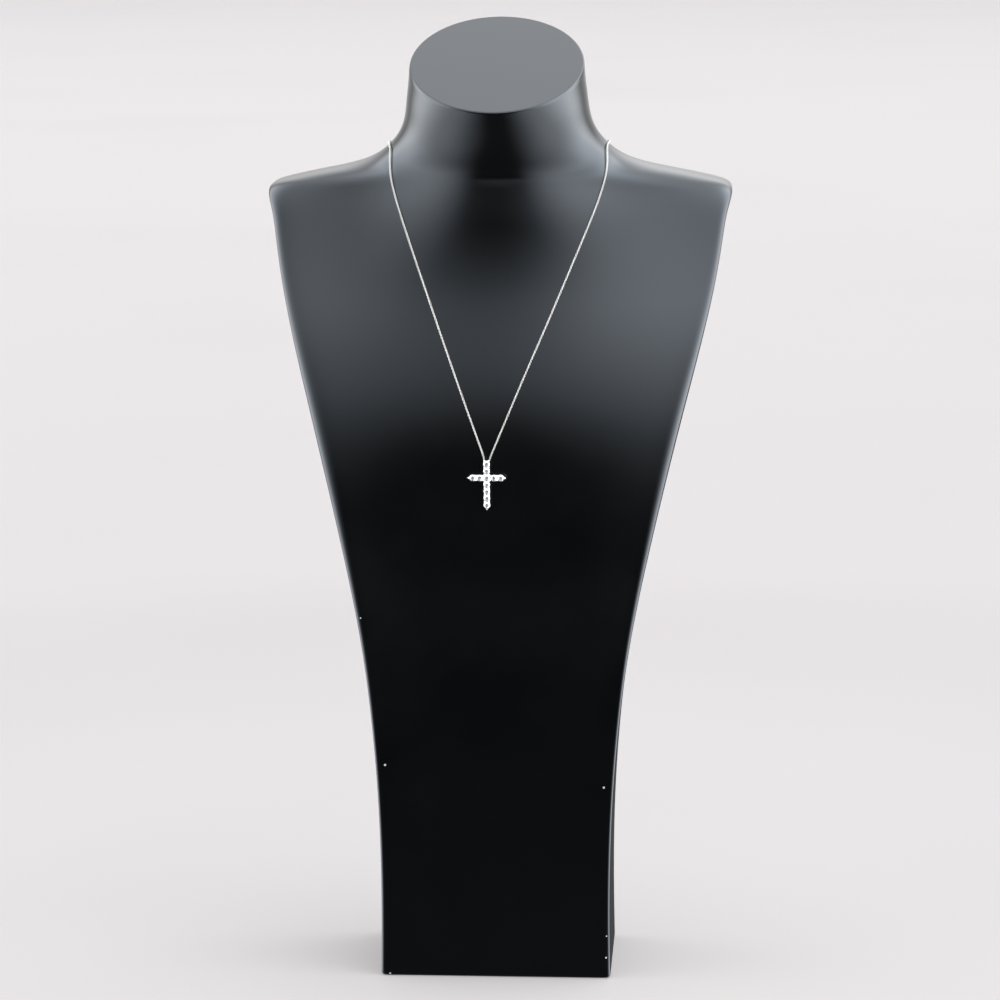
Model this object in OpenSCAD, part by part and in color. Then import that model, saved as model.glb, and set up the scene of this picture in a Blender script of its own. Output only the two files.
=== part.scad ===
// Cross pendant necklace on its black neck bust.
// Millimetres. +Z is up, -Y is the front, and the origin is the middle of the
// bust's foot, on the surface that it stands on.

/* [Bust foot] */
// Width of the foot
foot_w = 104.8; // [90:0.2:120]
// Depth of the foot, front to back
foot_d = 66; // [56:1:76]
// Rounding of the foot's lower edge
foot_edge = 1.8; // [0.6:0.2:3]

/* [Bust waist] */
// Height above the foot where the slab begins to widen
waist_h = 152; // [138:1:166]
// Width at the waist
waist_w = 120.2; // [112:0.2:130]
// Thickness of the slab at the waist
waist_t = 41; // [35:1:47]
// How far the waist stands forward of the foot's middle
waist_lean = 1.5; // [0:0.1:4]

/* [Bust shoulders] */
// Height of the shoulder corners above the foot
shoulder_h = 357; // [345:1:370]
// Width across the shoulders
shoulder_w = 211; // [192:1:230]
// Thickness of the slab at the shoulders
shoulder_t = 24.6; // [20:0.2:30]
// How far the shoulders stand behind the foot's middle
shoulder_lean = 35.5; // [28:0.5:42]
// How far the chest and the root of the neck swell out in front of the slab
chest_swell = 28.6; // [24:0.2:33]
// How far the root of the neck swells out behind the slab
back_swell = 16; // [12:0.5:20]

/* [Bust neck] */
// Height of the middle of the neck's flat top above the foot
neck_top_h = 411.6; // [404:0.2:422]
// Width of the neck at its top
neck_w = 78.4; // [71:0.2:85]
// Depth of the neck's top, along its slant
neck_d = 79.8; // [74:0.2:88]
// Slant of the neck's top, front edge down, in degrees
neck_slant = 28.8; // [22:0.2:33]
// How far the neck's top stands behind the foot's middle
neck_lean = 14.2; // [8:0.1:20]
// Rounding of the edge round the neck's top
neck_edge = 0.8; // [0.4:0.1:1.6]

/* [Stones] */
// Diameter of each round stone
stone_d = 2.95; // [2.75:0.05:3]
// Distance between the middles of two neighbouring stones
stone_pitch = 3.15; // [3.1:0.05:3.4]
// Width of the table facet as a share of the stone's diameter
stone_table = 0.57; // [0.5:0.01:0.65]
// Height of the crown as a share of the diameter
stone_crown = 0.15; // [0.12:0.01:0.18]
// Height of the pavilion as a share of the diameter
stone_pavilion = 0.43; // [0.4:0.01:0.46]
// Height of the girdle band
stone_girdle = 0.09; // [0.05:0.01:0.14]

/* [Setting] */
// Height of the middle stone above the foot
cross_h = 230; // [224:0.2:236]
// How far the cross hangs to the wearer's right of the middle
cross_aside = 3.2; // [0:0.1:5]
// Clearance between a stone and the metal round it
seat_gap = 0.04; // [0.02:0.01:0.08]
// Height of the stones' points above the back of the setting
culet_h = 0.5; // [0.45:0.05:0.7]
// Outer diameter of the cup under each stone
cup_d = 2.68; // [2.6:0.02:2.8]
// Height of the cups
cup_h = 1.2; // [1:0.05:1.4]
// Diameter of the hole in the floor of each cup
cup_hole_d = 0.9; // [0.6:0.1:1.2]
// Width of the rails that join the cups
rail_w = 2; // [1.8:0.1:2.3]
// Height of the rails
rail_h = 0.7; // [0.5:0.05:0.9]
// Thickness of the prongs, which stand in pairs between two stones
prong_d = 0.8; // [0.7:0.02:0.86]
// How far each prong of a pair stands from the arm's middle line
prong_aside = 0.95; // [0.9:0.01:1]
// How far each pointed end prong reaches from the middle of its stone
claw_reach = 2.2; // [2:0.05:2.5]

/* [Bail] */
// Thickness of the bail's wire
bail_wire = 0.56; // [0.5:0.02:0.7]
// Free diameter inside the bail, which the chain passes through
bail_free = 1.5; // [1.4:0.05:1.8]

/* [Chain] */
// Outer diameter of the chain
chain_d = 0.9; // [0.8:0.05:1]
// Clearance between the chain and the bust that it lies on
chain_gap = 0.25; // [0.2:0.05:0.4]
// Radius of the chain's turn through the bail
chain_turn = 1; // [0.8:0.1:1.3]
// How far below the neck's top the ring of the neck lies that carries the chain
nape_drop = 41; // [38:0.5:44]

/* [Clasp] */
// Length of the clasp
clasp_l = 9; // [7:0.5:12]
// Diameter of the clasp
clasp_d = 2.4; // [2:0.1:3]
// Depth of the sockets that hold the chain's two ends
clasp_socket = 1.2; // [0.8:0.1:1.6]

/* [Hidden] */
// Smallest gap between the jewel and the bust behind it
rest_gap = 0.15;
// Clearance round the chain in the clasp's sockets
socket_gap = 0.15;
ring_sides = 64;
loft_rings = 64;
round_steps = 4;
curve_fn = 48;

// Landmarks of the bust, from the foot to the neck's top. Each one holds its
// height, half width, how far its middle stands back, and half thickness.
landmarks = [
    [0, foot_w / 2, 0, foot_d / 2],
    [waist_h, waist_w / 2, -waist_lean, waist_t / 2],
    [shoulder_h, shoulder_w / 2, shoulder_lean, shoulder_t / 2],
    [neck_top_h, neck_w / 2, neck_lean, neck_d / 2],
];

// Sections of the bust. Each one lies between a landmark and the next, and the
// first columns say how far each measure has gone from the lower landmark's
// value to the upper's. SQUARE is the power of the superellipse: 2 is an
// ellipse and 60 a slab with sharp corners. SWELL and HUMP are shares of the
// swell in front and behind, REACH is the swell's half width as a share of the
// neck's width, and SLANT is a share of the neck's slant.
FROM = 0; HEIGHT = 1; WIDTH = 2; LEAN = 3; THICK = 4;
SQUARE = 5; SWELL = 6; HUMP = 7; REACH = 8; SLANT = 9;
sections = [
    [0, 0.000,  0.000,  0.000, 0.000, 60.00, 0.000, 0.000, 1.280, 0.000],
    [0, 0.240, -0.070,  0.800, 0.200, 60.00, 0.000, 0.000, 1.280, 0.000],
    [0, 0.500,  0.040,  1.410, 0.480, 60.00, 0.030, 0.000, 1.280, 0.000],
    [0, 0.750,  0.400,  1.520, 0.760, 56.00, 0.070, 0.000, 1.280, 0.000],
    [1, 0.000,  0.000,  0.000, 0.000, 40.00, 0.110, 0.000, 1.280, 0.000],
    [1, 0.180,  0.170,  0.060, 0.320, 27.00, 0.160, 0.000, 1.280, 0.000],
    [1, 0.360,  0.360,  0.160, 0.530, 19.00, 0.300, 0.000, 1.230, 0.000],
    [1, 0.510,  0.530,  0.300, 0.660, 16.00, 0.470, 0.000, 1.140, 0.000],
    [1, 0.660,  0.710,  0.470, 0.760, 15.00, 0.520, 0.000, 1.000, 0.000],
    [1, 0.779,  0.837,  0.672, 0.841, 15.20, 0.640, 0.365, 0.867, 0.000],
    [1, 0.870,  0.906,  0.826, 0.816, 15.10, 0.763, 0.625, 0.771, 0.000],
    [1, 0.935,  0.944,  0.940, 0.720, 13.40, 0.861, 0.784, 0.706, 0.000],
    [1, 0.976,  1.013,  1.019, 0.596,  7.40, 0.911, 0.845, 0.662, 0.000],
    [2, -0.007,  0.003, -0.103, 0.169,  4.80, 0.908, 0.821, 0.626, 0.001],
    [2, 0.037,  0.139, -0.105, 0.229,  3.30, 0.848, 0.731, 0.593, 0.021],
    [2, 0.092,  0.337, -0.042, 0.298,  2.52, 0.729, 0.595, 0.563, 0.067],
    [2, 0.143,  0.565,  0.088, 0.370,  2.18, 0.560, 0.433, 0.540, 0.137],
    [2, 0.214,  0.733,  0.262, 0.442,  2.02, 0.368, 0.271, 0.523, 0.230],
    [2, 0.316,  0.843,  0.457, 0.513,  2.00, 0.188, 0.133, 0.510, 0.343],
    [2, 0.436,  0.925,  0.655, 0.587,  2.00, 0.059, 0.040, 0.502, 0.470],
    [2, 0.572,  0.963,  0.823, 0.665,  2.00, 0.000, 0.000, 0.499, 0.601],
    [2, 0.720,  0.976,  0.937, 0.749,  2.00, 0.000, 0.000, 0.499, 0.733],
    [2, 0.864,  0.992,  0.997, 0.859,  2.00, 0.000, 0.000, 0.502, 0.866],
    [2, 1.000,  1.000,  1.000, 1.000,  2.00, 0.000, 0.000, 0.509, 1.000],
];

// The chain's two strands on the chest: height, then how far the left and the
// right strand lie from the middle, as seen from the front.
strands = [
    [240.4, -5.1, -1.0],
    [260, -12.3, 7.2],
    [280, -19.6, 15.7],
    [300, -26.8, 24.5],
    [320, -34.1, 32.8],
    [338, -40.6, 40.4],
    [350, -44.8, 45.2],
    [358, -47.2, 47.8],
    [364, -48, 48.8],
    [369, -48.2, 49.1],
    [374.5, -48.2, 48.7],
];

// Stones of the cross: name, how far to the right and how far up it sits
above = 2;
below = 4;
beside = 2;
stones = concat(
    [for (i = [0:above + below]) [str("stone_upright_", i + 1), 0, above - i]],
    [for (i = [1:beside]) [str("stone_left_", i), -i, 0]],
    [for (i = [1:beside]) [str("stone_right_", i), i, 0]]
);

// Number that lies the share k of the way from a to b
function between(a, b, k) = a + (b - a) * k;

// Row i of a table. Before the first and after the last it runs straight on.
function row_of(rows, i) =
    let (last = len(rows) - 1)
    i < 0 ? 2 * rows[0] - rows[1]
    : i > last ? 2 * rows[last] - rows[last - 1]
    : rows[i];

// Smooth cubic B-spline through a table of rows, at t from 0 to 1
function blend(rows, t) =
    let (
        x = t * (len(rows) - 1),
        i = min(floor(x), len(rows) - 2),
        f = x - i
    )
    (
        pow(1 - f, 3) * row_of(rows, i - 1)
        + (3 * pow(f, 3) - 6 * pow(f, 2) + 4) * row_of(rows, i)
        + (1 + 3 * f + 3 * pow(f, 2) - 3 * pow(f, 3)) * row_of(rows, i + 1)
        + pow(f, 3) * row_of(rows, i + 2)
    ) / 6;

// A section in millimetres: height, half width, lean, half thickness, power,
// swell, hump, reach and slant
function measured(s) =
    let (low = landmarks[s[FROM]], high = landmarks[s[FROM] + 1])
    [
        for (k = [0:3]) between(low[k], high[k], s[HEIGHT + k]),
        s[SQUARE], s[SWELL] * chest_swell, s[HUMP] * back_swell,
        s[REACH] * neck_w, s[SLANT] * neck_slant,
    ];

stations = [for (s = sections) measured(s)];

// Place t of the station at height h, found by halving the range
function place_at(h, low = 0, high = 1, steps = 20) =
    let (mid = (low + high) / 2)
    steps == 0 ? mid
    : blend(stations, mid)[0] < h ? place_at(h, mid, high, steps - 1)
    : place_at(h, low, mid, steps - 1);

// Point of the bust's skin at place t and angle a round the section, where 0 is
// the side at +X, 90 the back and -90 the front. The section is drawn in by
// inset and moved by rise square to its own plane.
function skin(t, a, inset = 0, rise = 0) =
    let (
        s = blend(stations, t),
        c = cos(a),
        d = sin(a),
        q = pow(pow(abs(c), s[4]) + pow(abs(d), s[4]), -1 / s[4]),
        x = (s[1] - inset) * q * c,
        bell = exp(-pow(x / s[7], 2)) * q * abs(d),
        y = (s[3] - inset) * q * d + (d < 0 ? -s[5] : s[6]) * bell
    )
    [x, s[2] + y * cos(s[8]) - rise * sin(s[8]), s[0] + y * sin(s[8]) + rise * cos(s[8])];

function unit(v) = v / norm(v);

// Outward direction square to the skin
function skin_out(t, a) =
    let (dt = 0.0008, da = 0.2)
    unit(cross(
        skin(t, a + da) - skin(t, a - da),
        skin(min(t + dt, 1), a) - skin(t - dt, a)
    ));

// Angle round the section at place t where the front of the skin lies x aside
function front_angle(t, x) =
    let (s = blend(stations, t), k = min(abs(x) / s[1], 1))
    atan2(-pow(1 - pow(k, s[4]), 1 / s[4]), sign(x) * k);

// Depth of the chest at height h, x aside of the middle
function chest_y(h, x) = let (t = place_at(h)) skin(t, front_angle(t, x))[1];

// Angles round a section, closer together at the four corners of a slab
ring_angles = [
    for (quarter = [0:3], k = [-ring_sides / 8:ring_sides / 8 - 1])
        let (v = k * 8 / ring_sides)
        90 * quarter + 45 + 45 * sign(v) * pow(abs(v), 1.5)
];

// Faces between rings of points. Each end is closed by triangles that meet in a
// middle point, and the two middle points follow the rings in the list.
function ring_faces(rings, sides) =
    let (low = rings * sides, high = low + 1, top = (rings - 1) * sides)
    concat(
        [for (k = [0:sides - 1]) [low, (k + 1) % sides, k]],
        [
            for (i = [0:rings - 2], k = [0:sides - 1])
                let (a = i * sides + k, b = i * sides + (k + 1) % sides)
                each [[a, b, b + sides], [a, b + sides, a + sides]]
        ],
        [for (k = [0:sides - 1]) [high, top + k, top + (k + 1) % sides]]
    );

function middle_of(points) = [for (p = points) 1] * points / len(points);

// A closed skin over a list of rings, each of them a list of points
module loft(rings) {
    ends = [middle_of(rings[0]), middle_of(rings[len(rings) - 1])];
    points = concat([for (r = rings) each r], ends);
    polyhedron(points, ring_faces(len(rings), len(rings[0])), convexity = 8);
}

module bust() {
    first = place_at(foot_edge);
    last = place_at(neck_top_h - 2 * neck_edge);
    foot_rings = [
        for (i = [0:round_steps - 1])
            let (a = 90 * i / round_steps)
            [for (k = ring_angles) skin(0, k, foot_edge * (1 - sin(a)), foot_edge * (1 - cos(a)))]
    ];
    wall_rings = [
        for (i = [0:loft_rings])
            [for (k = ring_angles) skin(between(first, last, i / loft_rings), k)]
    ];
    top_rings = [
        for (i = [0:round_steps])
            let (a = 90 * i / round_steps)
            [for (k = ring_angles) skin(1, k, neck_edge * (1 - cos(a)), neck_edge * (sin(a) - 1))]
    ];
    rings = concat(foot_rings, wall_rings, top_rings);
    color("#17181a")
        loft(rings);
}

stone_r = stone_d / 2;
girdle_h = culet_h + stone_pavilion * stone_d;
crown_h = girdle_h + stone_girdle;
table_h = crown_h + stone_crown * stone_d;
table_r = stone_table * stone_r;
star_r = 0.78 * stone_r;
crown_slope = (table_h - crown_h) / (stone_r - table_r);
star_h = table_h - (star_r * cos(22.5) - table_r) * crown_slope;

// Round brilliant with its point down: a table of eight sides, stars, kites,
// girdle facets and pavilion mains, all of them flat
module brilliant() {
    lower_r = 0.24 * stone_r;
    eighth = 360 / 8;
    half = eighth / 2;
    main_slope = (girdle_h - culet_h) / stone_r;
    lower_h = culet_h + lower_r * cos(half) * main_slope;
    function at(r, a, h) = [r * cos(a), r * sin(a), h];
    points = concat(
        [for (k = [0:7]) at(table_r, k * eighth, table_h)],
        [for (k = [0:7]) at(star_r, k * eighth + half, star_h)],
        [for (k = [0:15]) at(stone_r, k * half, crown_h)],
        [for (k = [0:15]) at(stone_r, k * half, girdle_h)],
        [for (k = [0:7]) at(lower_r, k * eighth + half, lower_h)],
        [[0, 0, culet_h]]
    );
    function table_i(k) = (k + 8) % 8;
    function star_i(k) = 8 + (k + 8) % 8;
    function rim_i(k) = 16 + (k + 16) % 16;
    function edge_i(k) = 32 + (k + 16) % 16;
    function lower_i(k) = 48 + (k + 8) % 8;
    point_i = 56;
    faces = concat(
        [[for (k = [7:-1:0]) k]],
        [for (k = [0:7]) [table_i(k), table_i(k + 1), star_i(k)]],
        [for (k = [0:7]) [table_i(k), star_i(k), rim_i(2 * k), star_i(k - 1)]],
        [for (k = [0:7]) each [
            [star_i(k), rim_i(2 * k + 1), rim_i(2 * k)],
            [star_i(k), rim_i(2 * k + 2), rim_i(2 * k + 1)],
            [lower_i(k), edge_i(2 * k), edge_i(2 * k + 1)],
            [lower_i(k), edge_i(2 * k + 1), edge_i(2 * k + 2)],
            [point_i, lower_i(k - 1), edge_i(2 * k), lower_i(k)],
        ]],
        [for (k = [0:15]) [rim_i(k), rim_i(k + 1), edge_i(k + 1), edge_i(k)]]
    );
    polyhedron(points, faces);
}

// The cross lies with the back of its bail against the chest and with the back
// of its lower end there too, which sets its slant.
bail_r = (bail_free + bail_wire) / 2;
bail_sink = 0.08;
bail_depth = bail_r - bail_sink;
bail_up = above * stone_pitch - 0.1;
bail_back = bail_depth + bail_r + bail_wire / 2;
tip_down = below * stone_pitch + claw_reach - 0.9;
behind_bail = chest_y(cross_h + bail_up, -cross_aside) - bail_back - rest_gap;
behind_tip = chest_y(cross_h - tip_down, -cross_aside) - rest_gap;
cross_slant = atan2(behind_bail - behind_tip, bail_up + tip_down);
cross_y = between(behind_tip, behind_bail, tip_down / (bail_up + tip_down));

// World place of a point of the cross, given right, up and out of its back
function on_cross(p) = [
    p[0] - cross_aside,
    cross_y + p[1] * sin(cross_slant) - p[2] * cos(cross_slant),
    cross_h + p[1] * cos(cross_slant) + p[2] * sin(cross_slant),
];

// Puts its children, drawn with the back of the cross on the floor, on the chest
module in_place() {
    translate([-cross_aside, cross_y, cross_h]) rotate([90 - cross_slant, 0, 0]) children();
}

module stone(s) {
    color("#eef2f6")
        in_place() translate([s[1] * stone_pitch, s[2] * stone_pitch, 0]) brilliant();
}

// Room of a stone, grown by the seat's clearance and open above
module stone_room() {
    r = stone_r + seat_gap;
    rotate_extrude($fn = curve_fn)
        polygon([
            [0, culet_h - seat_gap * 1.5],
            [r, girdle_h - seat_gap / 2],
            [r, crown_h + seat_gap / 2],
            [star_r + seat_gap / 2, star_h + seat_gap],
            [table_r + seat_gap, table_h + seat_gap],
            [0, table_h + seat_gap],
        ]);
}

// A prong with a rounded tip that bends over the edge of a stone
module prong(d, tip) {
    cylinder(d = d, h = tip, $fn = curve_fn);
    translate([0, 0, tip]) sphere(d = d * 1.1, $fn = curve_fn);
}

// The pointed prong at the end of an arm, which points to +X
module claw() {
    thick = 0.6;
    root = cup_d / 2 - 0.3;
    rotate([90, 0, 0])
        translate([0, 0, -thick / 2])
            linear_extrude(thick)
                polygon([
                    [root, 0],
                    [cup_d / 2 + 0.25, 0],
                    [claw_reach - 0.1, girdle_h - 0.25],
                    [claw_reach, girdle_h],
                    [claw_reach - 0.15, crown_h + 0.1],
                    [stone_r - 0.1, table_h - 0.05],
                    [stone_r - 0.4, table_h - 0.1],
                    [stone_r - 0.4, crown_h],
                    [root, cup_h / 2],
                ]);
    translate([stone_r - 0.35, 0, crown_h])
        rotate([0, 90, 0])
            cylinder(r1 = 0.7, r2 = 0.26, h = claw_reach - stone_r + 0.3, $fn = curve_fn);
}

module setting() {
    tip = crown_h + 0.1;
    pair = [-prong_aside, prong_aside];
    color("#d9dcdf") in_place() {
        difference() {
            union() {
                for (s = stones) translate([s[1], s[2], 0] * stone_pitch)
                    cylinder(d = cup_d, h = cup_h, $fn = curve_fn);
                translate([-rail_w / 2, -below * stone_pitch, 0])
                    cube([rail_w, (above + below + 0.5) * stone_pitch, rail_h]);
                translate([-beside * stone_pitch, -rail_w / 2, 0])
                    cube([2 * beside * stone_pitch, rail_w, rail_h]);
                for (i = [-below:above], x = pair) translate([x, (i + 0.5) * stone_pitch, 0])
                    prong(prong_d, tip);
                for (i = [-beside:beside - 1], y = pair) translate([(i + 0.5) * stone_pitch, y, 0])
                    prong(prong_d, tip);
                translate([0, -below * stone_pitch, 0]) rotate(-90) claw();
                translate([beside * stone_pitch, 0, 0]) claw();
                translate([-beside * stone_pitch, 0, 0]) rotate(180) claw();
            }
            for (s = stones) translate([s[1], s[2], 0] * stone_pitch) stone_room();
            for (s = stones) if (s[2] != above) translate([s[1], s[2], 0] * stone_pitch)
                translate([0, 0, -1]) cylinder(d = cup_hole_d, h = 2, $fn = curve_fn);
        }
        translate([0, bail_up, -bail_depth])
            rotate([0, 90, 0])
                rotate_extrude($fn = curve_fn) translate([bail_r, 0]) circle(d = bail_wire, $fn = curve_fn);
    }
}

// Middle of the chain where it passes through the bail, hanging the bail's top
// on the chain
bail_play = 0.05;
bail_middle = on_cross([0, bail_up + (bail_free - chain_d) / 2 - bail_play, -bail_depth]);

chain_lie = chain_d / 2 + chain_gap;
// Extra height of the strands over the chest near the bail, and the height over
// which it runs out
lift_run = 24;
first_t = place_at(strands[0][0]);
lift = skin(first_t, -90)[1] - bail_middle[1] - chain_lie;

// Point of a strand and its outward direction. Side is -1 on the left and 1 on
// the right, and k runs from 0 at the bail to 1 at the top of the shoulder.
function strand_point(side, k) =
    let (
        row = blend(strands, k),
        t = place_at(row[0]),
        a = front_angle(t, side < 0 ? row[1] : row[2]),
        out = skin_out(t, a),
        left_over = max(0, 1 - (row[0] - strands[0][0]) / lift_run)
    )
    [skin(t, a) + out * (chain_lie + max(lift, 0) * pow(left_over, 2)), out];

// The clasp's middle, at the nape, and the angles round the neck where the
// chain starts behind the shoulder and where it ends at the clasp's mouth
nape_h = neck_top_h - nape_drop;
nape_t = place_at(nape_h);
clasp_lie = clasp_d / 2 + rest_gap + 0.25;
clasp_middle = skin(nape_t, 90) + skin_out(nape_t, 90) * clasp_lie;
strand_top = strands[len(strands) - 1];
start_angle = front_angle(place_at(strand_top[0]), strand_top[2]);
mouth_angle = acos((clasp_l / 2 + 1) / blend(stations, nape_t)[1]);

// Point behind the shoulder and round the nape, for k from 0 at the top of the
// strand to 1 at the clasp's mouth. The chain first turns over the shoulder's
// crest, and over the last fifth it rises to the clasp.
crest_turn = 25;
function nape_point(side, k) =
    let (
        a = between(start_angle, mouth_angle, k),
        crest = crest_turn * k * pow(1 - k, 6),
        t = place_at(between(strand_top[0], nape_h, 1 - pow(1 - k, 2)) + crest),
        angle = side < 0 ? 180 - a : a,
        out = skin_out(t, angle),
        near = max(0, 1 - (1 - k) * 5)
    )
    [skin(t, angle) + out * between(chain_lie, clasp_lie, pow(near, 2)), out];

// End of the chain in the clasp's socket
function socket_point(side, x) = [clasp_middle + [side * x, 0, 0], skin_out(nape_t, 90)];

// The turn through the bail, for an angle from the bottom of the turn
function turn_point(a) = [
    bail_middle + chain_turn * [sin(a), 0, 1 - cos(a)],
    [0, -cos(cross_slant), sin(cross_slant)],
];

strand_steps = 21;
nape_steps = 13;
turn_steps = 3;
turn_end = 69;

function half_route(side) = concat(
    [for (i = [1:turn_steps]) turn_point(side * turn_end * i / turn_steps)],
    [for (i = [1:strand_steps]) strand_point(side, i / strand_steps)],
    [for (i = [1:nape_steps]) nape_point(side, i / nape_steps)],
    [socket_point(side, clasp_l / 2), socket_point(side, clasp_l / 2 - clasp_socket + 0.1)]
);

function reversed(list) = [for (i = [len(list) - 1:-1:0]) list[i]];

chain_route = concat(reversed(half_route(-1)), [turn_point(0)], half_route(1));

// Rings of eight points round a route of points with their outward directions
function tube_rings(route, d, sides = 8) = [
    for (i = [0:len(route) - 1])
        let (
            p = route[i][0],
            along = unit(route[min(i + 1, len(route) - 1)][0] - route[max(i - 1, 0)][0]),
            aside = unit(cross(along, route[i][1])),
            out = cross(aside, along)
        )
        [
            for (k = [0:sides - 1])
                let (a = 360 * k / sides)
                p + d / 2 * (cos(a) * aside + sin(a) * out)
        ]
];

module chain() {
    color("#e3e6e8") loft(tube_rings(chain_route, chain_d));
}

// The plain barrel clasp at the nape, along X, with a socket in each end
module clasp() {
    taper = 1.6;
    end_d = chain_d + 2 * socket_gap + 0.5;
    half = clasp_l / 2;
    bore = chain_d / 2 + socket_gap;
    color("#d9dcdf")
        translate(clasp_middle)
            rotate([0, 90, 0])
                rotate_extrude($fn = curve_fn)
                    polygon([
                        [0, clasp_socket - half],
                        [bore, clasp_socket - half],
                        [bore, -half],
                        [end_d / 2, -half],
                        [clasp_d / 2, taper - half],
                        [clasp_d / 2, half - taper],
                        [end_d / 2, half],
                        [bore, half],
                        [bore, half - clasp_socket],
                        [0, half - clasp_socket],
                    ]);
}

bust();
setting();
chain();
clasp();
for (s = stones) stone(s);
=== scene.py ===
# %% [markdown]
# # A cross pendant on its neck bust
# The real thing is a fine white gold necklace with a small cross of round
# stones, shown on a tall black lacquered bust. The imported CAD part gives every
# piece its size and place. This script dresses it: a smooth skin for the bust,
# real links for the chain, finishes for all of it, and the studio round it.

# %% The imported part
import math

import bpy
import numpy as np
from mathutils import Matrix, Vector


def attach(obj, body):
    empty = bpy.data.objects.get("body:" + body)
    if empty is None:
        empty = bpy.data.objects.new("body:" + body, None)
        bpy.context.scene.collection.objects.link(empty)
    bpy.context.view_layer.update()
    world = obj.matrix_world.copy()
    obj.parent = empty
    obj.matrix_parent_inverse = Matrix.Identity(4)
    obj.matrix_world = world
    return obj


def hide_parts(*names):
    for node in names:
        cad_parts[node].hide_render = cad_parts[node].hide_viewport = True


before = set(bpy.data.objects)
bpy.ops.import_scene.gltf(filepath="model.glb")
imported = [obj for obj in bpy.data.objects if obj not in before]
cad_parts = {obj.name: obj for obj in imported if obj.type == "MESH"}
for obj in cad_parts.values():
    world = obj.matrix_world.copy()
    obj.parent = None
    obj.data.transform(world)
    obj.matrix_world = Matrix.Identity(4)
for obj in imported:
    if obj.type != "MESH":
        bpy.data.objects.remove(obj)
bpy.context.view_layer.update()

# %% [markdown]
# ## Two small helpers
# The shapes below are worked out in millimetres, as the part's source is, so one
# function turns arrays of points and faces into an object in metres. Blender
# could also build them with modifiers, but a formula keeps each skin exactly on
# the solid that it stands for.

# %% Mesh from arrays
MM = 0.001


def add_mesh(name, points, faces, smooth=True):
    """Object from points in millimetres, an array of n rows, and a list of face
    arrays, each with one row of point numbers per face."""
    mesh = bpy.data.meshes.new(name)
    mesh.from_pydata((points * MM).tolist(), [], [f for a in faces for f in a.tolist()])
    mesh.polygons.foreach_set("use_smooth", np.full(len(mesh.polygons), smooth))
    mesh.validate()
    piece = bpy.data.objects.new(name, mesh)
    bpy.context.scene.collection.objects.link(piece)
    triangles = sum(len(p.vertices) - 2 for p in mesh.polygons)
    print(name, "has", triangles, "triangles")
    return piece


def unit(v):
    """Each row of v over its own length."""
    return v / np.linalg.norm(v, axis=-1, keepdims=True)


# %% [markdown]
# ## Colours and nodes
# Colours are written as the sRGB values that a colour picker shows, and turned
# to the linear values that light needs. One function adds a node, sets its
# values and links its inputs, so each material reads as a list of its steps.

# %% Colour and node helpers
def linear(hex_colour):
    """Linear RGBA of an sRGB hex value: c / 12.92 in the darks, and
    ((c + 0.055) / 1.055) to the power 2.4 above them."""
    c = np.array([int(hex_colour[i:i + 2], 16) for i in (1, 3, 5)]) / 255
    return (*np.where(c <= 0.04045, c / 12.92, ((c + 0.055) / 1.055) ** 2.4).tolist(), 1.0)


def new_material(name):
    """Empty node material with its output node."""
    material = bpy.data.materials.new(name)
    material.use_nodes = True
    tree = material.node_tree
    tree.nodes.clear()
    return material, tree, tree.nodes.new("ShaderNodeOutputMaterial")


def add(tree, kind, settings=None, **inputs):
    """Adds a node. Settings are its own properties. Each input is a value or the
    output socket of another node, named with _ for a space."""
    node = tree.nodes.new("ShaderNode" + kind)
    for key, value in (settings or {}).items():
        setattr(node, key, value)
    for key, value in inputs.items():
        socket = node.inputs[int(key[1:])] if key[0] == "_" else node.inputs[key.replace("_", " ")]
        if isinstance(value, bpy.types.NodeSocket):
            tree.links.new(value, socket)
        else:
            socket.default_value = value
    return node


# %% [markdown]
# ## The camera
# The photograph was taken with a long lens from a little above the pendant and a
# few degrees to the right. A matrix of its own right, up and back directions
# sets the small roll exactly.

# %% Camera
CAMERA_TURN = math.radians(3.71)
CAMERA_DIP = math.radians(10.85)
CAMERA_ROLL = math.radians(-0.34)
CAMERA_DISTANCE = 1600.0
CAMERA_HEIGHT = 523.0
CAMERA_AIM = np.array([1.51, -5.0])
LENS_WIDTHS = 3.6

cam_place = np.array([
    math.sin(CAMERA_TURN) * CAMERA_DISTANCE + CAMERA_AIM[0],
    -math.cos(CAMERA_TURN) * CAMERA_DISTANCE + CAMERA_AIM[1],
    CAMERA_HEIGHT,
])
ahead = np.array([
    -math.sin(CAMERA_TURN) * math.cos(CAMERA_DIP),
    math.cos(CAMERA_TURN) * math.cos(CAMERA_DIP),
    -math.sin(CAMERA_DIP),
])
level_right = np.array([math.cos(CAMERA_TURN), math.sin(CAMERA_TURN), 0.0])
level_up = np.cross(level_right, ahead)
cam_right = level_right * math.cos(CAMERA_ROLL) + level_up * math.sin(CAMERA_ROLL)
cam_up = -level_right * math.sin(CAMERA_ROLL) + level_up * math.cos(CAMERA_ROLL)

camera_data = bpy.data.cameras.new("camera")
camera_data.sensor_width = 36.0
camera_data.lens = 36.0 * LENS_WIDTHS
camera_data.clip_start, camera_data.clip_end = 0.05, 30.0
camera = bpy.data.objects.new("camera", camera_data)
bpy.context.scene.collection.objects.link(camera)
axes = Matrix([list(cam_right), list(cam_up), list(-ahead)]).transposed().to_4x4()
camera.matrix_world = Matrix.Translation(Vector((cam_place * MM).tolist())) @ axes
bpy.context.scene.camera = camera
print("camera at, mm:", np.round(cam_place, 1))

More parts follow.
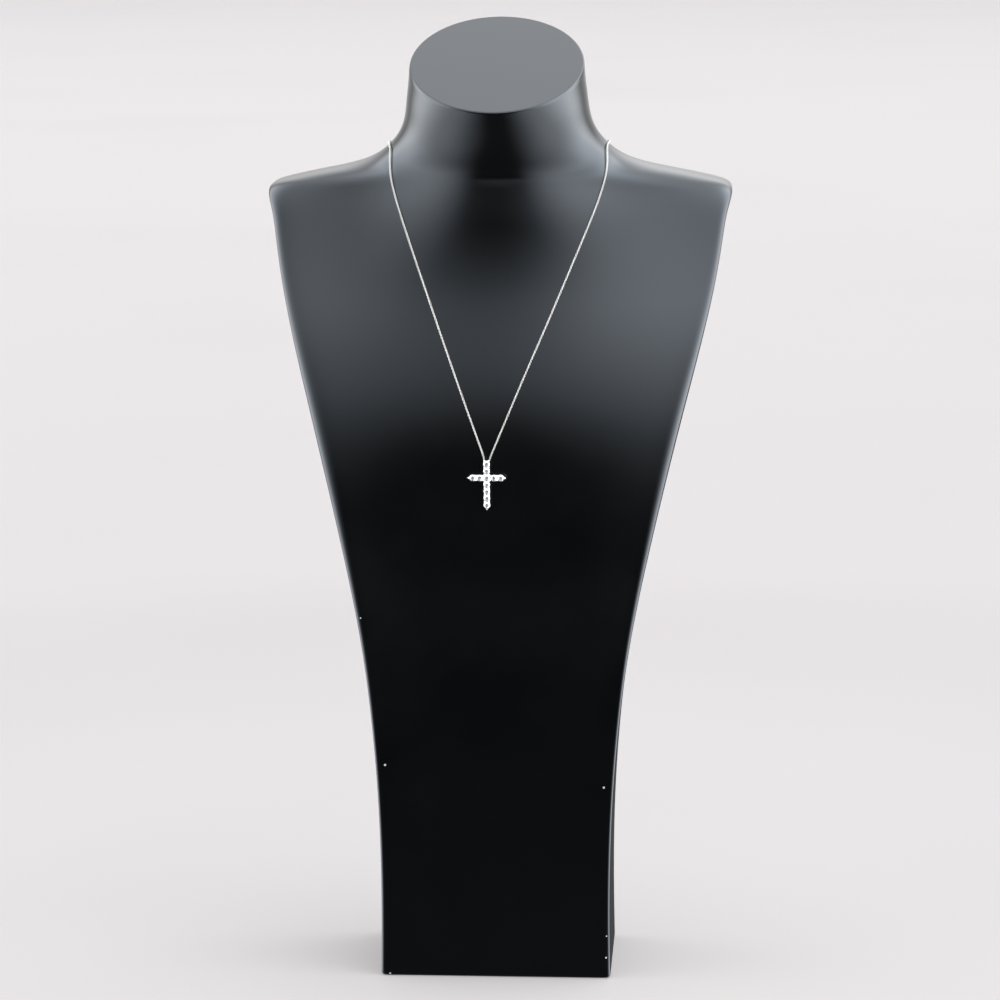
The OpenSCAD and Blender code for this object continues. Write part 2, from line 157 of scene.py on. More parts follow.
# %% [markdown]
# ## The bust's form
# A bust like this is cast or carved as a slab that widens to square shoulders
# and turns into an oval neck. Its skin is one family of sections: each one is a
# superellipse, crisp like a slab low down and round in the neck, with a soft
# swell in front. A smooth curve through a table of sections gives every height.
# The table's shares were found by a numeric fit to the outline and to the light
# on the lacquer, and then rounded. They aren't sizes chosen by hand.

# %% Sizes of the bust
FOOT = (0.0, 52.4, 0.0, 33.0)
WAIST = (152.0, 60.1, -1.5, 20.5)
SHOULDER = (357.0, 105.5, 35.5, 12.3)
NECK_TOP = (411.6, 39.2, 14.2, 39.9)
CHEST_SWELL, BACK_SWELL = 28.6, 16.0
NECK_WIDTH, NECK_SLANT = 78.4, 28.8
FOOT_EDGE, NECK_EDGE = 1.8, 0.8

# Each row: lower landmark, then how far height, half width, lean and half
# thickness have gone to the next landmark, power, swell, hump, reach and slant.
SECTIONS = np.array([
    [0, 0.000,  0.000,  0.000, 0.000, 60.00, 0.000, 0.000, 1.280, 0.000],
    [0, 0.240, -0.070,  0.800, 0.200, 60.00, 0.000, 0.000, 1.280, 0.000],
    [0, 0.500,  0.040,  1.410, 0.480, 60.00, 0.030, 0.000, 1.280, 0.000],
    [0, 0.750,  0.400,  1.520, 0.760, 56.00, 0.070, 0.000, 1.280, 0.000],
    [1, 0.000,  0.000,  0.000, 0.000, 40.00, 0.110, 0.000, 1.280, 0.000],
    [1, 0.180,  0.170,  0.060, 0.320, 27.00, 0.160, 0.000, 1.280, 0.000],
    [1, 0.360,  0.360,  0.160, 0.530, 19.00, 0.300, 0.000, 1.230, 0.000],
    [1, 0.510,  0.530,  0.300, 0.660, 16.00, 0.470, 0.000, 1.140, 0.000],
    [1, 0.660,  0.710,  0.470, 0.760, 15.00, 0.520, 0.000, 1.000, 0.000],
    [1, 0.779,  0.837,  0.672, 0.841, 15.20, 0.640, 0.365, 0.867, 0.000],
    [1, 0.870,  0.906,  0.826, 0.816, 15.10, 0.763, 0.625, 0.771, 0.000],
    [1, 0.935,  0.944,  0.940, 0.720, 13.40, 0.861, 0.784, 0.706, 0.000],
    [1, 0.976,  1.013,  1.019, 0.596,  7.40, 0.911, 0.845, 0.662, 0.000],
    [2, -0.007,  0.003, -0.103, 0.169,  4.80, 0.908, 0.821, 0.626, 0.001],
    [2, 0.037,  0.139, -0.105, 0.229,  3.30, 0.848, 0.731, 0.593, 0.021],
    [2, 0.092,  0.337, -0.042, 0.298,  2.52, 0.729, 0.595, 0.563, 0.067],
    [2, 0.143,  0.565,  0.088, 0.370,  2.18, 0.560, 0.433, 0.540, 0.137],
    [2, 0.214,  0.733,  0.262, 0.442,  2.02, 0.368, 0.271, 0.523, 0.230],
    [2, 0.316,  0.843,  0.457, 0.513,  2.00, 0.188, 0.133, 0.510, 0.343],
    [2, 0.436,  0.925,  0.655, 0.587,  2.00, 0.059, 0.040, 0.502, 0.470],
    [2, 0.572,  0.963,  0.823, 0.665,  2.00, 0.000, 0.000, 0.499, 0.601],
    [2, 0.720,  0.976,  0.937, 0.749,  2.00, 0.000, 0.000, 0.499, 0.733],
    [2, 0.864,  0.992,  0.997, 0.859,  2.00, 0.000, 0.000, 0.502, 0.866],
    [2, 1.000,  1.000,  1.000, 1.000,  2.00, 0.000, 0.000, 0.509, 1.000],
])

landmarks = np.array([FOOT, WAIST, SHOULDER, NECK_TOP])
zone = SECTIONS[:, 0].astype(int)
low, high = landmarks[zone], landmarks[zone + 1]
stations = np.column_stack([
    low + (high - low) * SECTIONS[:, 1:5],
    SECTIONS[:, 5],
    SECTIONS[:, 6] * CHEST_SWELL,
    SECTIONS[:, 7] * BACK_SWELL,
    SECTIONS[:, 8] * NECK_WIDTH,
    np.radians(SECTIONS[:, 9] * NECK_SLANT),
])
print("sections:", len(stations), "from", stations[0, 0], "to", stations[-1, 0], "mm up")


# %% Curve through the sections, and the skin
def blend(rows, t):
    """Cubic B-spline through the rows at t from 0 to 1. With f the share of the
    way to the next row, the weights of four rows in turn are (1-f)^3,
    3f^3-6f^2+4, 1+3f+3f^2-3f^3 and f^3, over 6. The ends run straight on."""
    last = len(rows) - 1
    ends = np.vstack([2 * rows[0] - rows[1], rows, 2 * rows[-1] - rows[-2]])
    x = np.clip(np.asarray(t, float), 0, 1) * last
    i = np.minimum(x.astype(int), last - 1)
    f = (x - i)[..., None]
    return (
        (1 - f) ** 3 * ends[i]
        + (3 * f**3 - 6 * f**2 + 4) * ends[i + 1]
        + (1 + 3 * f + 3 * f**2 - 3 * f**3) * ends[i + 2]
        + f**3 * ends[i + 3]
    ) / 6


def skin(t, angle, inset=0.0, rise=0.0):
    """Point of the skin at place t and angle round the section, in degrees from
    +X. With c and s the cosine and sine, q is (|c|^n + |s|^n) to the power -1/n,
    x is half width times q c, and y is half thickness times q s, pushed out by
    the swell times exp(-(x / reach)^2). The section then tips by its slant."""
    height, half_w, lean, half_t, n, swell, hump, reach, slant = np.moveaxis(
        blend(stations, t), -1, 0
    )
    c, s = np.cos(np.radians(angle)), np.sin(np.radians(angle))
    q = (np.abs(c) ** n + np.abs(s) ** n) ** (-1 / n)
    x = (half_w - inset) * q * c
    bell = np.exp(-((x / reach) ** 2)) * q * np.abs(s)
    y = (half_t - inset) * q * s + np.where(s < 0, -swell, hump) * bell
    return np.stack([
        x,
        lean + y * np.cos(slant) - rise * np.sin(slant),
        height + y * np.sin(slant) + rise * np.cos(slant),
    ], axis=-1)


def skin_out(t, angle):
    """Outward direction: the cross product of the skin's steps round the section
    and up it."""
    dt, da = 0.0008, 0.2
    round_step = skin(t, angle + da) - skin(t, angle - da)
    up_step = skin(np.minimum(t + dt, 1), angle) - skin(t - dt, angle)
    return unit(np.cross(round_step, up_step))


all_t = np.linspace(0, 1, 20001)
all_h = blend(stations, all_t)[:, 0]


def place_at(height):
    """Place t of the section whose middle is at this height."""
    return np.interp(height, all_h, all_t)


def front_angle(t, x):
    """Angle round section t where its front lies x aside of the middle: the
    superellipse's own y for that x, as an angle."""
    rows = blend(stations, t)
    k = np.minimum(np.abs(x) / rows[..., 1], 1)
    n = rows[..., 4]
    return np.degrees(np.arctan2(-((1 - k**n) ** (1 / n)), np.sign(x) * k))


# %% [markdown]
# ## The bust's skin
# The lacquer shows every ripple in its reflections, so the skin is a fine grid
# of the same formula, closer at the four corners of the slab, with rounded
# edges at the foot and round the neck's top. A subdivided CAD mesh would pull
# away from the corners; the formula stays on them.

# %% Bust skin
SIDES = 304
WALL_RINGS = 268
EDGE_RINGS = 6
CORNER_CROWDING = 1.5

corner = np.arange(-SIDES // 8, SIDES // 8) * 8 / SIDES
quarter = 45 + 45 * np.sign(corner) * np.abs(corner) ** CORNER_CROWDING
ring_angles = np.concatenate([quarter + 90 * k for k in range(4)])

foot_turn = np.radians(np.linspace(0, 90, EDGE_RINGS, endpoint=False))
neck_turn = np.radians(np.linspace(0, 90, EDGE_RINGS + 1))
wall_t = np.linspace(place_at(FOOT_EDGE), place_at(NECK_TOP[0] - 2 * NECK_EDGE), WALL_RINGS)
# The first and last rings lie just inside the flat foot and top, so that the
# rounded edge and the flat each keep their own shading.
flat_inset = 0.15
ring_t = np.concatenate([np.zeros(EDGE_RINGS + 1), wall_t, np.ones(EDGE_RINGS + 2)])
ring_inset = np.concatenate([
    [FOOT_EDGE + flat_inset], FOOT_EDGE * (1 - np.sin(foot_turn)), np.zeros(WALL_RINGS),
    NECK_EDGE * (1 - np.cos(neck_turn)), [NECK_EDGE + flat_inset],
])
ring_rise = np.concatenate([
    [0.0], FOOT_EDGE * (1 - np.cos(foot_turn)), np.zeros(WALL_RINGS),
    NECK_EDGE * (np.sin(neck_turn) - 1), [0.0],
])


def grid_faces(rings, sides):
    """Quads between neighbouring rings of points, closed round each ring."""
    i, k = np.meshgrid(np.arange(rings - 1), np.arange(sides), indexing="ij")
    a, b = i * sides + k, i * sides + (k + 1) % sides
    return np.stack([a, b, b + sides, a + sides], axis=-1).reshape(-1, 4)


rings = skin(ring_t[:, None], ring_angles[None, :], ring_inset[:, None], ring_rise[:, None])
count = len(ring_t)
points = np.vstack([rings.reshape(-1, 3), rings[0].mean(0), rings[-1].mean(0)])
k = np.arange(SIDES)
top = (count - 1) * SIDES
foot_fan = np.column_stack([np.full(SIDES, count * SIDES), (k + 1) % SIDES, k])
top_fan = np.column_stack([np.full(SIDES, count * SIDES + 1), top + k, top + (k + 1) % SIDES])
bust_skin = add_mesh("bust_skin", points, [grid_faces(count, SIDES), foot_fan, top_fan])
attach(bust_skin, "root")
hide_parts("bust")

# %% [markdown]
# ## The chain's route
# The chain runs from the bail up over the chest, past the sides of the neck and
# round the nape to a barrel clasp. The two strands don't quite match, as on any
# chain that was laid by hand. The route repeats the CAD tube's, worked out on
# the skin and lifted by half the chain.

# %% Sizes of the jewel
CROSS_H, CROSS_ASIDE = 230.0, 3.2
STONE_PITCH = 3.15
CLAW_REACH = 2.2
BAIL_WIRE, BAIL_FREE = 0.56, 1.5
BAIL_SINK, BAIL_PLAY = 0.08, 0.05
REST_GAP = 0.15
CHAIN_D, CHAIN_GAP, CHAIN_TURN = 0.9, 0.25, 1.0
NAPE_DROP = 41.0
CLASP_L, CLASP_D, CLASP_SOCKET = 9.0, 2.4, 1.2
SOCKET_ROOM = 0.1

# Height, then how far the left and the right strand lie from the middle. The
# rows come from the strands' places in the photograph, put on the fitted bust.
STRANDS = np.array([
    [240.4, -5.1, -1.0],
    [260, -12.3, 7.2],
    [280, -19.6, 15.7],
    [300, -26.8, 24.5],
    [320, -34.1, 32.8],
    [338, -40.6, 40.4],
    [350, -44.8, 45.2],
    [358, -47.2, 47.8],
    [364, -48, 48.8],
    [369, -48.2, 49.1],
    [374.5, -48.2, 48.7],
])


# %% Where the cross hangs
def chest_y(height, x):
    """Depth of the chest at this height, x aside of the middle."""
    t = place_at(height)
    return skin(t, front_angle(t, x))[..., 1]


bail_r = (BAIL_FREE + BAIL_WIRE) / 2
bail_depth = bail_r - BAIL_SINK
bail_up = 2 * STONE_PITCH - 0.1
bail_back = bail_depth + bail_r + BAIL_WIRE / 2
tip_down = 4 * STONE_PITCH + CLAW_REACH - 0.9
behind_bail = chest_y(CROSS_H + bail_up, -CROSS_ASIDE) - bail_back - REST_GAP
behind_tip = chest_y(CROSS_H - tip_down, -CROSS_ASIDE) - REST_GAP
cross_slant = math.atan2(behind_bail - behind_tip, bail_up + tip_down)
cross_y = behind_tip + (behind_bail - behind_tip) * tip_down / (bail_up + tip_down)
bail_rise = bail_up + (BAIL_FREE - CHAIN_D) / 2 - BAIL_PLAY
bail_middle = np.array([
    -CROSS_ASIDE,
    cross_y + bail_rise * math.sin(cross_slant) + bail_depth * math.cos(cross_slant),
    CROSS_H + bail_rise * math.cos(cross_slant) - bail_depth * math.sin(cross_slant),
])
print("cross leans", round(math.degrees(cross_slant), 2), "degrees; bail at", np.round(bail_middle, 2))

# %% Route of the chain
LIFT_RUN = 24.0
TURN_END = 69.0
CREST_TURN = 25.0
chain_lie = CHAIN_D / 2 + CHAIN_GAP
lift = max(skin(place_at(STRANDS[0, 0]), -90.0)[1] - bail_middle[1] - chain_lie, 0)
nape_h = NECK_TOP[0] - NAPE_DROP
nape_t = place_at(nape_h)
clasp_lie = CLASP_D / 2 + REST_GAP + 0.25
clasp_out = skin_out(nape_t, 90.0)
clasp_middle = skin(nape_t, 90.0) + clasp_out * clasp_lie
strand_top = STRANDS[-1]
start_angle = front_angle(place_at(strand_top[0]), strand_top[2])
mouth_angle = math.degrees(math.acos((CLASP_L / 2 + 1) / blend(stations, nape_t)[1]))


def strand(side, k):
    """Points and outward directions up one strand, for k from 0 to 1: the skin
    plus the chain's lie, and near the bail also the bail's own stand-off."""
    row = blend(STRANDS, k)
    t = place_at(row[:, 0])
    angle = front_angle(t, row[:, 1 if side < 0 else 2])
    out = skin_out(t, angle)
    left_over = np.maximum(0, 1 - (row[:, 0] - STRANDS[0, 0]) / LIFT_RUN)
    return skin(t, angle) + out * (chain_lie + lift * left_over**2)[:, None], out


def nape(side, k):
    """Points and outward directions from the strand's top to the clasp's mouth.
    The chain turns over the shoulder's crest, its height eases to the nape's,
    and the last fifth rises to the clasp."""
    a = start_angle + (mouth_angle - start_angle) * k
    crest = CREST_TURN * k * (1 - k) ** 6
    t = place_at(strand_top[0] + (nape_h - strand_top[0]) * (1 - (1 - k) ** 2) + crest)
    angle = 180 - a if side < 0 else a
    out = skin_out(t, angle)
    near = np.maximum(0, 1 - (1 - k) * 5)
    return skin(t, angle) + out * (chain_lie + (clasp_lie - chain_lie) * near**2)[:, None], out


def turn(angles):
    """Arc of the chain's turning radius under the top of the bail."""
    a = np.radians(angles)
    at = bail_middle + CHAIN_TURN * np.column_stack([np.sin(a), 0 * a, 1 - np.cos(a)])
    out = np.array([0, -math.cos(cross_slant), math.sin(cross_slant)])
    return at, np.broadcast_to(out, at.shape)


def socket(side):
    """The chain's last millimetre, on the clasp's own axis."""
    x = side * np.array([CLASP_L / 2, CLASP_L / 2 - CLASP_SOCKET + SOCKET_ROOM])
    at = clasp_middle + np.column_stack([x, 0 * x, 0 * x])
    return at, np.broadcast_to(clasp_out, at.shape)


ks = np.linspace(0, 1, 401)[1:]
left = [strand(-1, ks), nape(-1, ks), socket(-1)]
right = [strand(1, ks), nape(1, ks), socket(1)]
runs = [(p[::-1], o[::-1]) for p, o in reversed(left)]
runs += [turn(np.linspace(-TURN_END, TURN_END, 41))] + right
route = np.vstack([p for p, _ in runs])
route_out = np.vstack([o for _, o in runs])
along = np.concatenate([[0], np.cumsum(np.linalg.norm(np.diff(route, axis=0), axis=1))])
chain_length = float(along[-1])
whole_loop = chain_length + CLASP_L - 2 * (CLASP_SOCKET - SOCKET_ROOM)
print("chain runs", round(chain_length, 1), "mm; the whole loop with its clasp is", round(whole_loop, 1))

# %% [markdown]
# ## The chain's links
# It is a trace chain: small oval links of round wire, each turned a quarter from
# the last, so that it glints in beads. A tube with a bump pattern would look
# flat up close, so every link is its own closed ring of wire. One link is
# worked out once, and whole arrays carry it to all its places.

# %% Links
LINK_WIRE = 0.24
LINK_WIDTH = CHAIN_D
LINK_PITCH = 0.735
LINK_PLAY = 0.03
LINK_STEPS, WIRE_SIDES = 14, 6

link_long = LINK_PITCH + LINK_PLAY + 2 * LINK_WIRE
bend_r = (LINK_WIDTH - LINK_WIRE) / 2
straight = (link_long - LINK_WIRE) / 2 - bend_r

turn_a = (np.arange(LINK_STEPS) + 0.5) * 2 * np.pi / LINK_STEPS
wire_a = np.arange(WIRE_SIDES) * 2 * np.pi / WIRE_SIDES
# The wire's middle goes round two half circles joined by straights, and its
# section is a circle across it: outwards in the link's plane and square to it.
middle_x = bend_r * np.cos(turn_a) + straight * np.sign(np.cos(turn_a))
middle_y = bend_r * np.sin(turn_a)
swing = LINK_WIRE / 2 * np.cos(wire_a)
local = np.stack([
    middle_x[:, None] + swing * np.cos(turn_a)[:, None],
    middle_y[:, None] + swing * np.sin(turn_a)[:, None],
    np.broadcast_to(LINK_WIRE / 2 * np.sin(wire_a), (LINK_STEPS, WIRE_SIDES)),
], axis=-1).reshape(-1, 3)

links = int(along[-1] // LINK_PITCH)
spacing = along[-1] / links
at = (np.arange(links) + 0.5) * spacing


def on_route(values, s):
    """Each column of the values, read at distance s along the route."""
    return np.column_stack([np.interp(s, along, values[:, c]) for c in range(3)])


link_at = on_route(route, at)
link_along = unit(on_route(route, at + spacing / 2) - on_route(route, at - spacing / 2))
link_side = unit(np.cross(link_along, on_route(route_out, at)))
link_out = np.cross(link_side, link_along)
quarter_turn = np.radians(np.where(np.arange(links) % 2, 45.0, -45.0))[:, None]
across = link_side * np.cos(quarter_turn) + link_out * np.sin(quarter_turn)
square = np.cross(link_along, across)
points = (
    link_at[:, None]
    + local[None, :, 0:1] * link_along[:, None]
    + local[None, :, 1:2] * across[:, None]
    + local[None, :, 2:3] * square[:, None]
).reshape(-1, 3)

i, k = np.meshgrid(np.arange(LINK_STEPS), np.arange(WIRE_SIDES), indexing="ij")
next_i, next_k = (i + 1) % LINK_STEPS, (k + 1) % WIRE_SIDES
one_link = np.stack([
    i * WIRE_SIDES + k, next_i * WIRE_SIDES + k,
    next_i * WIRE_SIDES + next_k, i * WIRE_SIDES + next_k,
], axis=-1).reshape(-1, 4)
faces = (one_link[None] + np.arange(links)[:, None, None] * len(local)).reshape(-1, 4)
chain_links = add_mesh("chain_links", points, [faces])
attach(chain_links, "root")
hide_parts("chain")
print(links, "links,", round(spacing, 4), "mm apart")

# %% [markdown]
# ## Black lacquer
# The bust is wood under a sprayed satin lacquer. Nearly all that the eye gets
# from it is the blurred reflection of the lights, so its colour is almost
# black and its gloss does the work. Spraying leaves a faint orange peel, and
# handling leaves the gloss a little uneven. A few pin-sized chips along the
# edges show the pale ground under the lacquer.

# %% Lacquer material
LACQUER = "#010101"
GROUND = "#a9a6a0"
SHEEN = "#e6f2ff"
LACQUER_IOR = 1.54
PEEL_MM = 1.6
PEEL_DEPTH_MM = 0.0012
SMEAR_MM = 45.0
RAGGED_PER_MM, RAGGED_SHARE = 1.4, 0.5
CHIP_RIM, CHIP_HEART = 1.25, 1.1
# Chips: height, how far aside as a share of the half width, and radius
CHIPS = [
    (165.0, -0.965, 0.35),
    (98.2, -0.917, 0.5),
    (88.9, 0.917, 0.5),
    (20.0, 0.972, 0.35),
    (9.9, 0.965, 0.45),
    (1.0, -0.921, 0.55),
]

lacquer, tree, output = new_material("sprayed_satin_lacquer_on_wood")
object_space = add(tree, "TexCoord").outputs["Object"]
smear = add(tree, "TexNoise", Vector=object_space, Scale=1000 / SMEAR_MM, Detail=3.0, Roughness=0.55)
gloss = add(tree, "MapRange", Value=smear.outputs[0], From_Min=0.35, From_Max=0.65,
            To_Min=0.14, To_Max=0.18)
peel = add(tree, "TexNoise", Vector=object_space, Scale=1000 / PEEL_MM, Detail=1.0, Roughness=0.4)
peel_bump = add(tree, "Bump", Height=peel.outputs[0], Distance=PEEL_DEPTH_MM * MM, Strength=1.0)
ragged = add(tree, "TexNoise", Vector=object_space, Scale=1000 * RAGGED_PER_MM, Detail=2.0)
chipped = None
for height, share, radius in CHIPS:
    t = place_at(height)
    x = share * blend(stations, t)[1]
    spot = skin(t, front_angle(t, x))
    away = add(tree, "VectorMath", {"operation": "DISTANCE"}, _0=object_space, _1=(spot * MM).tolist())
    torn = add(tree, "Math", {"operation": "MULTIPLY_ADD"}, _0=ragged.outputs[0],
               _1=RAGGED_SHARE * radius * MM, _2=away.outputs["Value"])
    mask = add(tree, "MapRange", Value=torn.outputs[0], From_Min=CHIP_RIM * radius * MM,
               From_Max=CHIP_HEART * radius * MM, To_Min=0.0, To_Max=1.0)
    if chipped is not None:
        mask = add(tree, "Math", {"operation": "MAXIMUM"}, _0=chipped, _1=mask.outputs[0])
    chipped = mask.outputs[0]
colour = add(tree, "Mix", {"data_type": "RGBA"}, _0=chipped)
colour.inputs[6].default_value = linear(LACQUER)
colour.inputs[7].default_value = linear(GROUND)
surface = add(tree, "BsdfPrincipled", Base_Color=colour.outputs[2], Roughness=gloss.outputs[0],
              Normal=peel_bump.outputs[0], IOR=LACQUER_IOR, Specular_Tint=linear(SHEEN))
tree.links.new(surface.outputs[0], output.inputs["Surface"])
bust_skin.data.materials.append(lacquer)

# %% [markdown]
# ## White gold and stones
# The setting, clasp and chain are white gold under bright rhodium, cast or drawn
# and then polished on a wheel. The polish leaves fine hairlines, so the
# roughness is low and a little uneven, and the links, which rub on each other,
# have gone a little greyer than the cross. The stones are cut and polished to flat
# facets, and their high index of refraction makes them flash dark and white.

# %% Metal and stone materials
RHODIUM, WORN_RHODIUM = "#d6d5d3", "#b9b8b6"
POLISH_MM = 0.35
RIPPLE_MM = 0.002
STONE_IOR = 2.42


def polished_gold(name, colour, low, high):
    """White gold with a polish whose roughness wanders between low and high."""
    material, tree, output = new_material(name)
    place = add(tree, "TexCoord").outputs["Object"]
    wander = add(tree, "TexNoise", Vector=place, Scale=1000 / POLISH_MM, Detail=2.0)
    polish = add(tree, "MapRange", Value=wander.outputs[0], From_Min=0.3, From_Max=0.7,
                 To_Min=low, To_Max=high)
    ripple = add(tree, "Bump", Height=wander.outputs[0], Distance=RIPPLE_MM * MM, Strength=0.5)
    metal = add(tree, "BsdfPrincipled", Base_Color=linear(colour), Metallic=1.0,
                Roughness=polish.outputs[0], Normal=ripple.outputs[0])
    tree.links.new(metal.outputs[0], output.inputs["Surface"])
    return material


cast_gold = polished_gold("cast_white_gold_rhodium_polish", RHODIUM, 0.10, 0.20)
drawn_gold = polished_gold("drawn_white_gold_wire_worn_rhodium", WORN_RHODIUM, 0.16, 0.28)

stone_cut, tree, output = new_material("brilliant_cut_clear_stone")
place = add(tree, "TexCoord").outputs["Object"]
facet_polish = add(tree, "TexNoise", Vector=place, Scale=1000 / POLISH_MM, Detail=1.0)
facet_rough = add(tree, "MapRange", Value=facet_polish.outputs[0], To_Min=0.0, To_Max=0.03)
clear = add(tree, "BsdfPrincipled", Base_Color=linear("#f6f8fa"), Roughness=facet_rough.outputs[0],
            IOR=STONE_IOR, Transmission_Weight=1.0)
tree.links.new(clear.outputs[0], output.inputs["Surface"])

chain_links.data.materials.append(drawn_gold)
finishes = {"setting": cast_gold, "clasp": cast_gold}
for name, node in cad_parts.items():
    finish = stone_cut if name.startswith("stone_") else finishes.get(name)
    if finish is not None:
        for s in node.material_slots:
            s.material = finish
        print(name, "wears", finish.name)

# %% [markdown]
# ## The studio
# The bust stands in a pale paper cove under one large overhead light and two
# side lights, with nothing lit in front. The lacquer mirrors that: bright
# flanks and shoulders, and a dark front. The cove goes right round, so that
# every view has the same pale ground.

# %% Paper cove
# The near tone is a little darker than the far one: painted shade on the paper round the bust.
PAPER_NEAR_PAINTED_SHADE, PAPER_FAR = "#747273", "#7e7c7d"
# The paper is given painted light, a glow of its own: near the bust it lightens
# the bust's shadow on the paper, and far off it lightens the far paper and wall.
# One part ends and the other begins between these distances, in millimetres.
PAINTED_GLOW_NEAR, NEAR_FROM, NEAR_TO = 0.17, 150.0, 800.0
PAINTED_GLOW_FAR, FAR_FROM, FAR_TO = 0.03, 1200.0, 4500.0
COVE_R, COVE_BEND, COVE_H = 12000.0, 3000.0, 4500.0
FIBRES_PER_MM, FIBRE_DEPTH_MM = 0.9, 0.02
bend = np.radians(np.linspace(0, 90, 13))
profile_r = np.concatenate([
    [0, 400, 1500, 4500], COVE_R - COVE_BEND + COVE_BEND * np.sin(bend), [COVE_R],
])
profile_z = np.concatenate([[0, 0, 0, 0], COVE_BEND * (1 - np.cos(bend)), [COVE_H]])
COVE_SIDES = 96
cove_a = np.arange(COVE_SIDES) * 2 * np.pi / COVE_SIDES
points = np.stack([
    profile_r[:, None] * np.cos(cove_a), profile_r[:, None] * np.sin(cove_a),
    np.broadcast_to(profile_z[:, None], (len(profile_z), COVE_SIDES)),
], axis=-1).reshape(-1, 3)
cove = add_mesh("paper_cove", points, [grid_faces(len(profile_r), COVE_SIDES)])

paper, tree, output = new_material("pale_background_paper")
place = add(tree, "TexCoord").outputs["Object"]
cloud = add(tree, "TexNoise", Vector=place, Scale=1.6, Detail=4.0)
away = add(tree, "VectorMath", {"operation": "LENGTH"}, _0=place)
# Painted shade: the paper is darker within about a metre of the bust. The cloud is the paper's own
# uneven tone.
reach = add(tree, "MapRange", Value=away.outputs["Value"], From_Min=0.25, From_Max=0.9,
            To_Min=-0.3, To_Max=0.7)
shade_and_cloud = add(tree, "Math", {"operation": "MULTIPLY_ADD", "use_clamp": True}, _0=cloud.outputs[0],
            _1=0.6, _2=reach.outputs[0])
tone = add(tree, "Mix", {"data_type": "RGBA"}, _0=shade_and_cloud.outputs[0])
tone.inputs[6].default_value = linear(PAPER_NEAR_PAINTED_SHADE)
tone.inputs[7].default_value = linear(PAPER_FAR)
fibre = add(tree, "TexNoise", Vector=place, Scale=1000 * FIBRES_PER_MM, Detail=2.0)
tooth = add(tree, "Bump", Height=fibre.outputs[0], Distance=FIBRE_DEPTH_MM * MM, Strength=0.3)
# Painted light: the paper glows most near the bust, where it lightens the bust's shadow, and a little
# far off.
near_painted_glow = add(tree, "MapRange", {"interpolation_type": "SMOOTHSTEP"},
                Value=away.outputs["Value"], From_Min=NEAR_FROM * MM, From_Max=NEAR_TO * MM,
                To_Min=PAINTED_GLOW_NEAR, To_Max=0.0)
far_painted_glow = add(tree, "MapRange", {"interpolation_type": "SMOOTHSTEP"},
               Value=away.outputs["Value"], From_Min=FAR_FROM * MM, From_Max=FAR_TO * MM,
               To_Min=0.0, To_Max=PAINTED_GLOW_FAR)
painted_glow = add(tree, "Math", {"operation": "ADD"}, _0=near_painted_glow.outputs[0], _1=far_painted_glow.outputs[0])
sheet = add(tree, "BsdfPrincipled", Base_Color=tone.outputs[2], Roughness=0.95,
            Normal=tooth.outputs[0], Specular_IOR_Level=0.1,
            Emission_Color=linear("#fffcfd"), Emission_Strength=painted_glow.outputs[0])
tree.links.new(sheet.outputs[0], output.inputs["Surface"])
cove.data.materials.append(paper)
# The front of the room was dark, so the paper stays out of the reflections.
cove.visible_glossy = False
cove.visible_transmission = False
cove.visible_shadow = False


# %% [markdown]
# ## The lights
# The reflections in the lacquer show where the lights stood. One large soft
# light hangs overhead and ends some 20 degrees above the horizon in front. Two
# more stand at the sides and fade out about 50 degrees from the front, the
# right one a little the stronger. Under them only a weak bounce comes up from
# the table. The front of the room is dark, apart from a faint glow of the floor
# below the horizon. The lights are drawn by direction in the room round the
# scene, and each soft edge is a smooth step. Their strengths and angles started
# from the same fit as the bust's sections.

# %% Room of light
OVERHEAD, TO_RIGHT, TO_FRONT = 3.3, 1.9, 0.3
OVERHEAD_FROM, OVERHEAD_SOFT = 18.6, 24.0
SIDE_LEFT, LEFT_FROM = 6.0, 53.5
SIDE_RIGHT, RIGHT_FROM = 7.2, 50.0
SIDE_SOFT = 31.0
SIDE_TOP, SIDE_FOOT, SIDE_BACK = 60.0, -24.0, 120.0
BOUNCE, BOUNCE_FOOT, BEHIND_FROM = 0.38, -66.0, -11.0
DARK = 0.01
FLOOR_GLOW, GLOW_FROM, GLOW_SOFT = 0.08, 7.0, 6.0
TOP_SOFT, FOOT_SOFT, BACK_SOFT = 20.0, 22.0, 18.0
BEHIND_SOFT, BEHIND_SHARE = 3.0, 0.12

world = bpy.data.worlds.new("room_of_soft_light")
world.use_nodes = True
tree = world.node_tree
tree.nodes.clear()


def calc(operation, a, b, c=0.0):
    """Output of one Math node on numbers or sockets."""
    return add(tree, "Math", {"operation": operation}, _0=a, _1=b, _2=c).outputs[0]


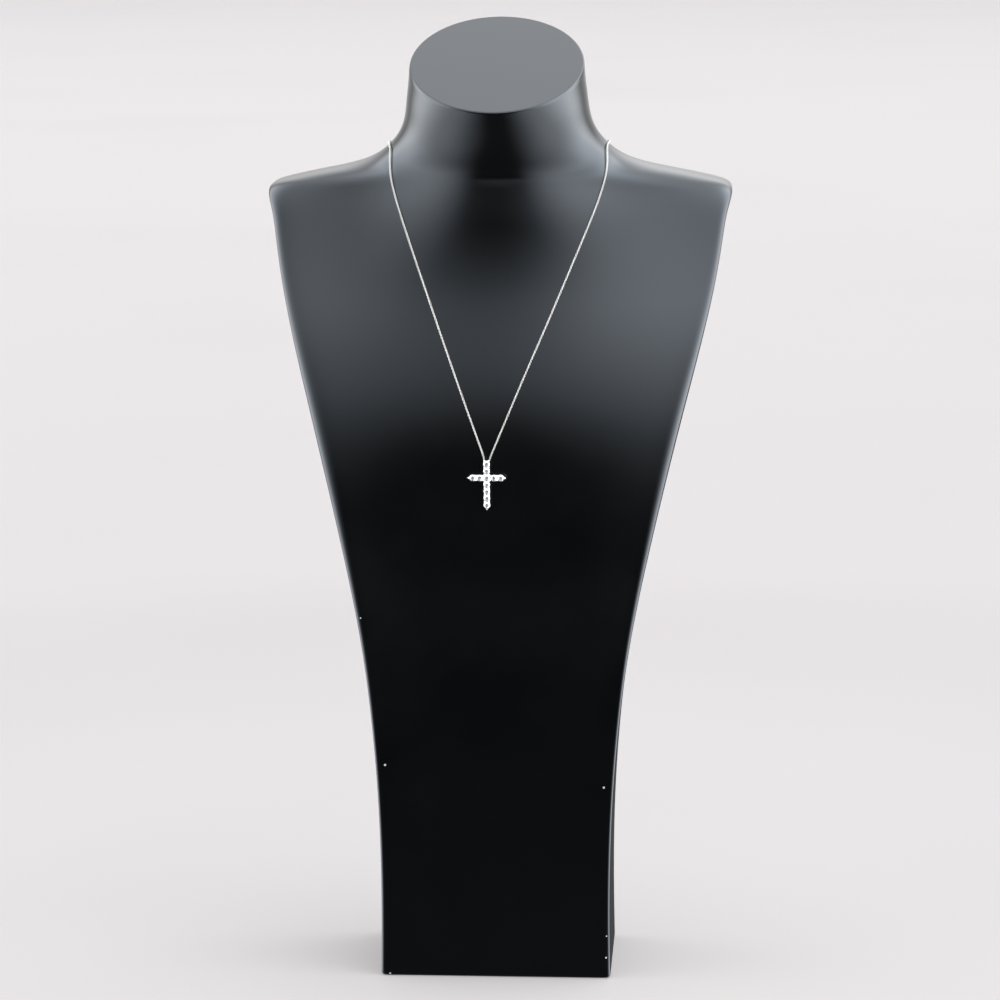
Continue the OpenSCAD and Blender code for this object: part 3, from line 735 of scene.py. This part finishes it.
def fade(value, middle, soft):
    """Smooth step from 0 to 1 that starts soft degrees under the middle and ends
    as far above it."""
    step = add(tree, "MapRange", {"interpolation_type": "SMOOTHSTEP"}, Value=value,
               From_Min=math.radians(middle - soft), From_Max=math.radians(middle + soft))
    return step.outputs[0]


direction = add(tree, "TexCoord").outputs["Generated"]
x, y, z = add(tree, "SeparateXYZ", _0=direction).outputs
aside = calc("ARCTAN2", x, calc("MULTIPLY", y, -1.0))
level = calc("ARCSINE", z, 0.0)

overhead = calc("MULTIPLY_ADD", x, TO_RIGHT, OVERHEAD)
overhead = calc("MULTIPLY_ADD", y, -TO_FRONT, overhead)
overhead = calc("MULTIPLY", overhead, fade(level, OVERHEAD_FROM, OVERHEAD_SOFT))
left_side = calc("MULTIPLY", SIDE_LEFT, fade(calc("MULTIPLY", aside, -1.0), LEFT_FROM, SIDE_SOFT))
right_side = calc("MULTIPLY", SIDE_RIGHT, fade(aside, RIGHT_FROM, SIDE_SOFT))
past_side = fade(calc("ABSOLUTE", aside, 0.0), SIDE_BACK, BACK_SOFT)
above_side = fade(level, SIDE_TOP, TOP_SOFT)
side = calc("ADD", left_side, right_side)
behind = calc("MULTIPLY_ADD", fade(level, BEHIND_FROM, BEHIND_SOFT), -BEHIND_SHARE, 1.0)
side = calc("MULTIPLY", side, calc("SUBTRACT", 1.0, calc("MULTIPLY", past_side, behind)))
side = calc("MULTIPLY", side, calc("SUBTRACT", 1.0, above_side))
under = calc("MULTIPLY_ADD", fade(level, SIDE_FOOT, FOOT_SOFT), 1.0 - BOUNCE, BOUNCE)
side = calc("MULTIPLY", calc("MULTIPLY", side, under), fade(level, BOUNCE_FOOT, FOOT_SOFT))
floor_glow = calc("MULTIPLY", FLOOR_GLOW, fade(calc("MULTIPLY", level, -1.0), GLOW_FROM, GLOW_SOFT))
radiance = calc("SQRT", calc("MULTIPLY_ADD", side, side, calc("MULTIPLY", overhead, overhead)), 0.0)
radiance = calc("ADD", radiance, calc("ADD", floor_glow, DARK))

room = add(tree, "Background", Color=linear("#ffffff"), Strength=radiance)
output = add(tree, "OutputWorld", Surface=room.outputs[0])
bpy.context.scene.world = world
bpy.context.scene.view_settings.view_transform = "Standard"
